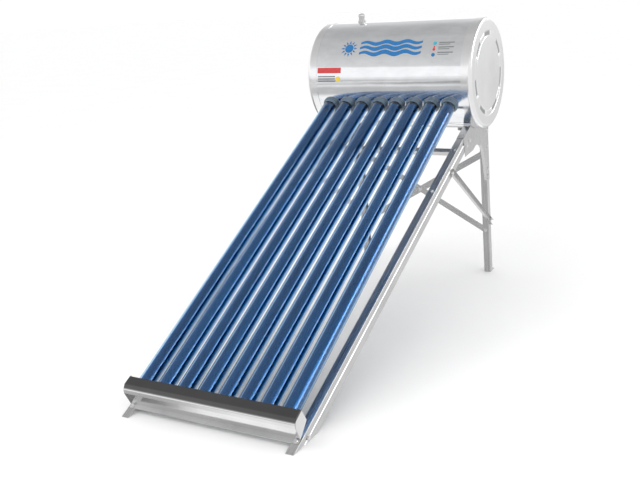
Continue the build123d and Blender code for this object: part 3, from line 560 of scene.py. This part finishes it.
def ring_bridge(shape, side, middle, half_angle, inner, outer, face_x):
    """A block that closes a stretch of the cap's pressed ring, level with its face."""
    steps = 8
    foot_depth, foot_reach = 0.0045, 0.002
    shoulder, proud, end_slope = 0.003, 0.0003, 0.0035
    rows = []
    for i in range(steps + 1):
        angle = middle - half_angle + 2 * half_angle * i / steps
        ends = end_slope if i in (0, steps) else 0.0
        row = []
        for radius, depth in (
            (inner - foot_reach, foot_depth),
            (inner + shoulder, ends - proud),
            (outer - shoulder, ends - proud),
            (outer + foot_reach, foot_depth),
        ):
            y = tank_y + radius * math.cos(angle)
            z = tank_z + radius * math.sin(angle)
            row.append(shape.verts.new((side * (face_x - depth), y, z)))
        rows.append(row)
    for first, second in zip(rows, rows[1:]):
        for k in range(3):
            shape.faces.new((first[k], first[k + 1], second[k + 1], second[k]))
    shape.faces.new(rows[0])
    shape.faces.new(rows[-1])


bridge_count = 7
first_bridge = math.radians(14)
long_half = math.radians(17)
short_half = math.radians(11)
ring_inner = 0.66 * cap_radius
ring_outer = 0.77 * cap_radius
for side, cap_name in ((1, "end_cap_right"), (-1, "end_cap_left")):
    shape = bmesh.new()
    for k in range(bridge_count):
        middle = first_bridge + 2 * math.pi * k / bridge_count
        half_angle = long_half if k % 2 else short_half
        ring_bridge(shape, side, middle, half_angle, ring_inner, ring_outer, tank_half)
    bmesh.ops.recalc_face_normals(shape, faces=shape.faces[:])
    name = cap_name + "_bridges"
    piece = add_piece(name, mesh_from(shape, name), "cap_plain")
    soften_edges(piece, 0.0012, 3)


# ---- Bolts with washers ----------------------------------------------------------------------


def islands(mesh):
    """Each loose part's corner positions and triangles. Corners are joined by position."""
    keys = [tuple(round(c * 1e5) for c in vertex.co) for vertex in mesh.vertices]
    places = {}
    for key, vertex in zip(keys, mesh.vertices):
        places.setdefault(key, vertex.co.copy())
    parent = {key: key for key in places}

    def root(key):
        while parent[key] != key:
            parent[key] = parent[parent[key]]
            key = parent[key]
        return key

    for polygon in mesh.polygons:
        first = root(keys[polygon.vertices[0]])
        for index in polygon.vertices[1:]:
            parent[root(keys[index])] = first
    groups = {}
    for key in places:
        groups.setdefault(root(key), []).append(key)
    triangles = {}
    for polygon in mesh.polygons:
        triangles.setdefault(root(keys[polygon.vertices[0]]), []).append(polygon)
    order = sorted(groups, key=lambda name: min(groups[name]))
    return [([places[key] for key in sorted(groups[name])], triangles[name]) for name in order]


least_shank = 0.002


def bolt_axis(points, triangles):
    """A bolt's seat, the unit vector out through its head, the head's height and its tail."""
    areas = {}
    for triangle in triangles:
        key = tuple(round(c, 2) for c in triangle.normal)
        areas[key] = areas.get(key, 0) + triangle.area
    axis = Vector(max(sorted(areas), key=lambda name: round(areas[name] * 1e8))).normalized()
    centre = sum(points, Vector()) / len(points)
    reach = [(point - centre).dot(axis) for point in points]
    past_shank = 0.0062
    wide = [
        t for point, t in zip(points, reach) if (point - centre - axis * t).length > past_shank
    ]
    top, seat = max(wide), min(wide)
    if max(reach) - top > least_shank:
        axis = -axis
        top, seat = -seat, -top
        reach = [-t for t in reach]
    return centre + axis * seat, axis, top - seat, seat - min(reach)


def prism(shape, base, axis, radius, length, sides, taper=0.0, start=0.0):
    """A closed prism from base along axis, its far rim drawn in by taper."""
    frame_turn = axis.to_track_quat("Z", "Y").to_matrix()
    levels = [(0.0, radius), (length - taper, radius), (length, radius - taper)]
    if not taper:
        levels = levels[:2]
    rings = []
    for height, ring_radius in levels:
        ring = []
        for i in range(sides):
            turn = start + 2 * math.pi * i / sides
            flat = Vector((ring_radius * math.cos(turn), ring_radius * math.sin(turn), height))
            ring.append(shape.verts.new(base + frame_turn @ flat))
        rings.append(ring)
    for low, high in zip(rings, rings[1:]):
        for i in range(sides):
            k = (i + 1) % sides
            shape.faces.new((low[i], low[k], high[k], high[i]))
    shape.faces.new(rings[0][::-1])
    shape.faces.new(rings[-1])


washer_radius = 0.0085
washer_height = 0.0014
head_radius = 0.0075
shank_radius = 0.004
turn_between_heads = 0.7
shape = bmesh.new()
for order, (points, triangles) in enumerate(islands(frame["nodes"]["frame_bolts"].data)):
    seat, axis, height, tail = bolt_axis(points, triangles)
    prism(shape, seat, axis, washer_radius, washer_height, 32, 0.0003)
    prism(shape, seat, axis, head_radius, height, 6, 0.0011, order * turn_between_heads)
    prism(shape, seat, -axis, shank_radius, tail, 20, 0.0008)
bmesh.ops.recalc_face_normals(shape, faces=shape.faces[:])
mesh = mesh_from(shape, "bolts_with_washers")
bolts = add_piece("bolts_with_washers", mesh, "chrome")
soften_edges(bolts, 0.0003, 2)
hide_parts("frame_bolts")

# ---- Camera, light and floor -----------------------------------------------------------------

camera_azimuth = math.radians(29.425)
camera_elevation = math.radians(15.477)
camera_roll = math.radians(3.38)
camera_from_tank = Vector((1.579, -3.684, 0.3515))

level_right = Vector((math.cos(camera_azimuth), math.sin(camera_azimuth), 0))
forward = Vector(
    (
        -math.sin(camera_azimuth) * math.cos(camera_elevation),
        math.cos(camera_azimuth) * math.cos(camera_elevation),
        -math.sin(camera_elevation),
    )
)
level_up = level_right.cross(forward)
right = level_right * math.cos(camera_roll) - level_up * math.sin(camera_roll)
up = level_up * math.cos(camera_roll) + level_right * math.sin(camera_roll)
camera_data = bpy.data.cameras.new("camera")
camera_data.sensor_width = 36.0
camera_data.lens = 49.06
camera = bpy.data.objects.new("camera", camera_data)
bpy.context.scene.collection.objects.link(camera)
facing = Matrix((right, up, -forward)).transposed().to_4x4()
camera.matrix_world = Matrix.Translation(Vector((0, tank_y, tank_z)) + camera_from_tank) @ facing
bpy.context.scene.camera = camera


def area_light(name, place, target, size, power):
    data = bpy.data.lights.new(name, "AREA")
    data.shape = "RECTANGLE"
    data.size, data.size_y = size
    data.energy = power
    light = bpy.data.objects.new(name, data)
    light.location = place
    aim = Vector(target) - Vector(place)
    light.rotation_euler = aim.to_track_quat("-Z", "Y").to_euler()
    light.visible_glossy = False
    bpy.context.scene.collection.objects.link(light)


middle_of_object = (0, 0, 0.5)
area_light("key", (-1.6, -2.4, 3.6), middle_of_object, (2.2, 1.4), 26)
area_light("fill", (3.2, -0.6, 2.4), middle_of_object, (1.6, 1.6), 12)


def studio_world():
    """Studio seen only in reflections: a grey room with a white band above its horizon.

    Direct view, light through glass and diffuse light all find an even white surround. In
    reflections the floor is grey, and straight below it is dark on the left and white on the
    right. Above it are a patchy low wall, a white band, and a grey upper room that is darker
    behind the tank. The side that the right-hand end faces is nearly white. A softbox stands
    in line with the tubes.
    """
    world = bpy.data.worlds.new("studio")
    bpy.context.scene.world = world
    world.use_nodes = True
    tree = world.node_tree
    tree.nodes.clear()

    def math_node(operation, first, second=None):
        made = tree.nodes.new("ShaderNodeMath")
        made.operation = operation
        for socket, value in zip(made.inputs, (first, second)):
            if isinstance(value, (int, float)):
                socket.default_value = value
            elif value is not None:
                tree.links.new(value, socket)
        return made.outputs["Value"]

    def step(value, low, high, to_low=0.0, to_high=1.0):
        made = tree.nodes.new("ShaderNodeMapRange")
        made.interpolation_type = "SMOOTHSTEP"
        made.inputs["From Min"].default_value = low
        made.inputs["From Max"].default_value = high
        made.inputs["To Min"].default_value = to_low
        made.inputs["To Max"].default_value = to_high
        tree.links.new(value, made.inputs["Value"])
        return made.outputs["Result"]

    def blend(factor, first, second):
        """first where factor is 0, second where it is 1."""
        made = tree.nodes.new("ShaderNodeMix")
        tree.links.new(factor, made.inputs["Factor"])
        for socket, value in ((made.inputs["A"], first), (made.inputs["B"], second)):
            if isinstance(value, (int, float)):
                socket.default_value = value
            else:
                tree.links.new(value, socket)
        return made.outputs["Result"]

    where = tree.nodes.new("ShaderNodeTexCoord")
    parts = tree.nodes.new("ShaderNodeSeparateXYZ")
    tree.links.new(where.outputs["Generated"], parts.inputs["Vector"])
    x, y, z = parts.outputs["X"], parts.outputs["Y"], parts.outputs["Z"]
    stretch = tree.nodes.new("ShaderNodeMapping")
    stretch.inputs["Scale"].default_value = (1.0, 1.0, 5.0)
    tree.links.new(where.outputs["Generated"], stretch.inputs["Vector"])
    clutter = tree.nodes.new("ShaderNodeTexNoise")
    clutter.inputs["Scale"].default_value = 2.2
    clutter.inputs["Detail"].default_value = 4.0
    tree.links.new(stretch.outputs["Vector"], clutter.inputs["Vector"])

    floor_below = step(x, -0.60, -0.56, 0.18, 1.12)
    room_floor = blend(step(z, -0.62, -0.52), floor_below, 0.60)
    low_wall = step(clutter.outputs["Fac"], 0.40, 0.56, 0.42, 0.95)
    white_band = 1.16
    upper_room = step(z, 0.34, 0.95, 0.80, 0.58)
    room = blend(step(z, -0.35, -0.31), room_floor, low_wall)
    room = blend(step(z, -0.03, 0.0), room, white_band)
    room = blend(step(z, 0.31, 0.345), room, upper_room)
    behind = math_node("MULTIPLY", step(y, -0.05, 0.15), step(z, 0.55, 0.8))
    room = blend(behind, room, 0.52)
    white_side = math_node("MULTIPLY", step(x, 0.15, 0.4), step(z, 0.55, 0.42))
    room = blend(white_side, room, 0.96)

    # Angle about the tubes' direction, from +X towards the sky.
    tube_sky = Vector((0, -tube_up.z, tube_up.y))
    sky = math_node(
        "ADD", math_node("MULTIPLY", y, tube_sky.y), math_node("MULTIPLY", z, tube_sky.z)
    )
    turn = math_node("ARCTAN2", sky, x)
    along = math_node(
        "ADD", math_node("MULTIPLY", y, tube_up.y), math_node("MULTIPLY", z, tube_up.z)
    )
    softbox = math_node("MULTIPLY", step(turn, -0.04, 0.02), step(turn, 0.44, 0.38))
    softbox = math_node("MULTIPLY", softbox, step(along, 0.2, 0.4))
    room = blend(softbox, room, 4.5)

    reflected = tree.nodes.new("ShaderNodeBackground")
    tree.links.new(room, reflected.inputs["Color"])
    surround = tree.nodes.new("ShaderNodeBackground")
    surround.inputs["Color"].default_value = (1.0, 1.0, 1.0, 1.0)
    surround.inputs["Strength"].default_value = 1.07
    path = tree.nodes.new("ShaderNodeLightPath")
    mix = tree.nodes.new("ShaderNodeMixShader")
    tree.links.new(path.outputs["Is Glossy Ray"], mix.inputs["Fac"])
    tree.links.new(surround.outputs["Background"], mix.inputs[1])
    tree.links.new(reflected.outputs["Background"], mix.inputs[2])
    output = tree.nodes.new("ShaderNodeOutputWorld")
    tree.links.new(mix.outputs["Shader"], output.inputs["Surface"])


studio_world()

floor_front = -2.6
floor_back = 70.0
floor_half_width = 60.0
floor_mesh = bpy.data.meshes.new("floor")
floor_mesh.from_pydata(
    [
        (-floor_half_width, floor_front, 0),
        (floor_half_width, floor_front, 0),
        (floor_half_width, floor_back, 0),
        (-floor_half_width, floor_back, 0),
    ],
    [],
    [(0, 1, 2, 3)],
)
floor = bpy.data.objects.new("floor", floor_mesh)
bpy.context.scene.collection.objects.link(floor)
floor_look = Look("floor_paper", (0.96, 0.96, 0.96), 0.6)
paper = floor_look.noise(floor_look.coordinates(), 2.0, 2.0)
floor_look.vary_colour(paper, (0.3, (0.95, 0.95, 0.95)), (0.7, (0.97, 0.97, 0.97)))
floor_mesh.materials.append(floor_look.material)
floor.visible_glossy = False

bpy.context.scene.view_settings.view_transform = "Standard"
bpy.context.scene.view_settings.look = "None"
